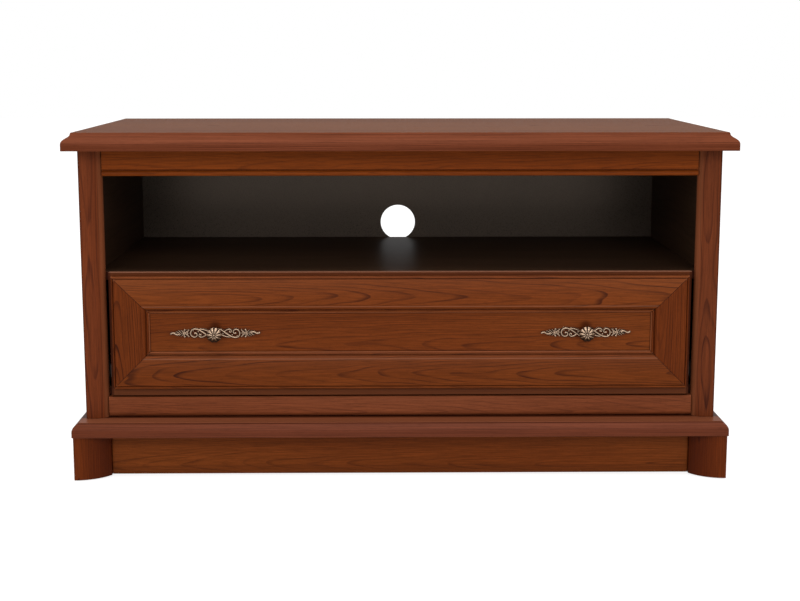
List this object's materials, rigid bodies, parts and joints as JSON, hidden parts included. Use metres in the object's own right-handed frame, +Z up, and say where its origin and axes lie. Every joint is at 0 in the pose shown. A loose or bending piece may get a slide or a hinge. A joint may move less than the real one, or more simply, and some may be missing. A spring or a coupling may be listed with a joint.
{
  "type": "tv cabinet",
  "caption": "Low wooden tv cabinet with a moulded top, an open niche with a cable hole, a wide framed drawer on roller runners, brass knobs and a plinth base.",
  "frame": {"origin": "on the floor, under the middle of the cabinet", "axes": "+Z up, +X along the cabinet's length, front towards -Y"},
  "size_m": [1.2, 0.56, 0.635],
  "materials": {
    "lacquered_cherry": "satin lacquer over cherry-coloured veneer",
    "dark_laminate": "semi-gloss dark laminate on board",
    "dark_fibreboard": "dark thin fibreboard",
    "batten_wood": "planed softwood",
    "antique_brass": "antique brass with dark patina in the recesses",
    "zinc_plated_steel": "zinc plated screws",
    "brown_coated_steel": "brown epoxy coat on folded sheet",
    "white_nylon": "moulded nylon",
    "brown_plastic": "moulded plastic"
  },
  "bodies": {
    "carcass": {"top_panel": "lacquered_cherry", "base_plate": "lacquered_cherry", "left_side_panel": "dark_laminate", "right_side_panel": "dark_laminate", "shelf_panel": "dark_laminate", "bottom_panel": "dark_laminate", "back_panel": "dark_fibreboard", "left_post": "lacquered_cherry", "right_post": "lacquered_cherry", "top_rail": "lacquered_cherry", "bottom_rail": "lacquered_cherry", "plinth_front_board": "lacquered_cherry", "plinth_rear_board": "lacquered_cherry", "plinth_left_board": "lacquered_cherry", "plinth_right_board": "lacquered_cherry", "plinth_centre_brace": "lacquered_cherry", "left_front_foot": "lacquered_cherry", "right_front_foot": "lacquered_cherry", "left_rear_foot": "lacquered_cherry", "right_rear_foot": "lacquered_cherry", "left_front_glide": "brown_plastic", "right_front_glide": "brown_plastic", "left_rear_glide": "brown_plastic", "right_rear_glide": "brown_plastic", "left_runner_batten": "batten_wood", "right_runner_batten": "batten_wood", "left_cabinet_runner": "brown_coated_steel", "right_cabinet_runner": "brown_coated_steel"},
    "drawer": {"drawer_front_board": "lacquered_cherry", "drawer_frame_bottom": "lacquered_cherry", "drawer_frame_top": "lacquered_cherry", "drawer_frame_left": "lacquered_cherry", "drawer_frame_right": "lacquered_cherry", "left_drawer_side": "dark_laminate", "right_drawer_side": "dark_laminate", "drawer_back": "dark_laminate", "drawer_bottom": "dark_fibreboard", "drawer_bottom_stiffener": "batten_wood", "left_drawer_runner": "brown_coated_steel", "right_drawer_runner": "brown_coated_steel", "left_handle_plate": "antique_brass", "right_handle_plate": "antique_brass", "left_knob": "antique_brass", "right_knob": "antique_brass", "left_handle_screw": "zinc_plated_steel", "right_handle_screw": "zinc_plated_steel"},
    "left_cabinet_roller": {"left_cabinet_roller": "white_nylon"},
    "right_cabinet_roller": {"right_cabinet_roller": "white_nylon"},
    "left_drawer_roller": {"left_drawer_roller": "white_nylon"},
    "right_drawer_roller": {"right_drawer_roller": "white_nylon"}
  },
  "joints": [
    {"name": "drawer_slide", "type": "slide", "parent": "carcass", "child": "drawer", "axis": [0, -1, 0], "range_m": [0, 0.34]},
    {"name": "left_cabinet_roller_spin", "type": "hinge", "parent": "carcass", "child": "left_cabinet_roller", "pos_m": [-0.5306, -0.2002, 0.1939], "axis": [1, 0, 0], "continuous": true},
    {"name": "right_cabinet_roller_spin", "type": "hinge", "parent": "carcass", "child": "right_cabinet_roller", "pos_m": [0.5306, -0.2002, 0.1939], "axis": [1, 0, 0], "continuous": true},
    {"name": "left_drawer_roller_spin", "type": "hinge", "parent": "drawer", "child": "left_drawer_roller", "pos_m": [-0.5306, 0.2187, 0.1925], "axis": [1, 0, 0], "continuous": true},
    {"name": "right_drawer_roller_spin", "type": "hinge", "parent": "drawer", "child": "right_drawer_roller", "pos_m": [0.5306, 0.2187, 0.1925], "axis": [1, 0, 0], "continuous": true}
  ],
  "couplings": [
    {"joint": "left_cabinet_roller_spin", "follows": "drawer_slide", "rad_per_m": 111.11},
    {"joint": "right_cabinet_roller_spin", "follows": "drawer_slide", "rad_per_m": 111.11},
    {"joint": "left_drawer_roller_spin", "follows": "drawer_slide", "rad_per_m": 111.11},
    {"joint": "right_drawer_roller_spin", "follows": "drawer_slide", "rad_per_m": 111.11}
  ]
}
